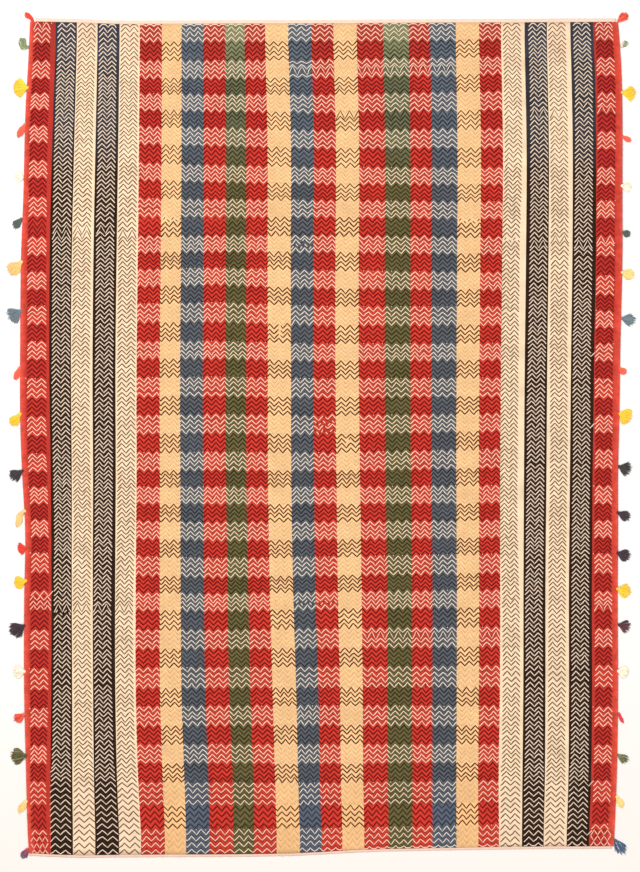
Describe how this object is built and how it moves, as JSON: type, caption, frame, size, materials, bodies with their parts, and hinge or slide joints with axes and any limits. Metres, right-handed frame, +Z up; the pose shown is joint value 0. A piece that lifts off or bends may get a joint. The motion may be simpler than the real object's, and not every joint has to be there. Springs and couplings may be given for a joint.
{
  "type": "flat-woven striped wool rug with side tassels",
  "caption": "Flat-woven wool floor rug with lengthwise stripes and zigzag lines, wrapped side edges, taped ends and small coloured tassels down both long sides.",
  "frame": {"origin": "on the floor, under the middle of the whole rug with its tassels", "axes": "+X across the rug towards its right side as seen from above, +Y along its length towards the far end, +Z up out of the patterned face"},
  "size_m": [1.588, 2.143, 0.0052],
  "materials": {
    "cloth_wool": "matt flat-woven wool, striped in red, gold-cream, blue, green, navy and pale cream, with zigzag lines across the stripes",
    "tape_cotton": "matt pale cotton tape, plain weave",
    "edging_wool": "matt orange-red wool yarn, wrapped over the edge in fine turns",
    "tassel_red": "loose red wool yarn",
    "tassel_sage": "loose sage wool yarn",
    "tassel_yellow": "loose yellow wool yarn",
    "tassel_coral": "loose coral wool yarn",
    "tassel_peach": "loose peach wool yarn",
    "tassel_grey_green": "loose grey-green wool yarn",
    "tassel_apricot": "loose apricot wool yarn",
    "tassel_grey_blue": "loose grey-blue wool yarn",
    "tassel_charcoal": "loose charcoal wool yarn",
    "tassel_aubergine": "loose aubergine wool yarn",
    "tassel_olive": "loose olive wool yarn",
    "tassel_gold": "loose gold wool yarn",
    "tassel_blue": "loose blue wool yarn"
  },
  "bodies": {
    "root": {"cloth": "cloth_wool", "tape_top": "tape_cotton", "tape_bottom": "tape_cotton", "edging_left": "edging_wool", "edging_right": "edging_wool", "tassel_left_01": "tassel_red", "tassel_left_02": "tassel_sage", "tassel_left_03": "tassel_yellow", "tassel_left_04": "tassel_coral", "tassel_left_05": "tassel_peach", "tassel_left_06": "tassel_grey_green", "tassel_left_07": "tassel_apricot", "tassel_left_08": "tassel_grey_blue", "tassel_left_09": "tassel_coral", "tassel_left_10": "tassel_yellow", "tassel_left_11": "tassel_charcoal", "tassel_left_12": "tassel_apricot", "tassel_left_13": "tassel_red", "tassel_left_14": "tassel_yellow", "tassel_left_15": "tassel_aubergine", "tassel_left_16": "tassel_peach", "tassel_left_17": "tassel_coral", "tassel_left_18": "tassel_olive", "tassel_left_19": "tassel_gold", "tassel_left_20": "tassel_blue", "tassel_right_01": "tassel_red", "tassel_right_02": "tassel_sage", "tassel_right_03": "tassel_yellow", "tassel_right_04": "tassel_coral", "tassel_right_05": "tassel_peach", "tassel_right_06": "tassel_grey_green", "tassel_right_07": "tassel_gold", "tassel_right_08": "tassel_grey_blue", "tassel_right_09": "tassel_coral", "tassel_right_10": "tassel_yellow", "tassel_right_11": "tassel_charcoal", "tassel_right_12": "tassel_aubergine", "tassel_right_13": "tassel_aubergine", "tassel_right_14": "tassel_gold", "tassel_right_15": "tassel_charcoal", "tassel_right_16": "tassel_peach", "tassel_right_17": "tassel_red", "tassel_right_18": "tassel_olive", "tassel_right_19": "tassel_gold", "tassel_right_20": "tassel_blue"}
  },
  "joints": []
}
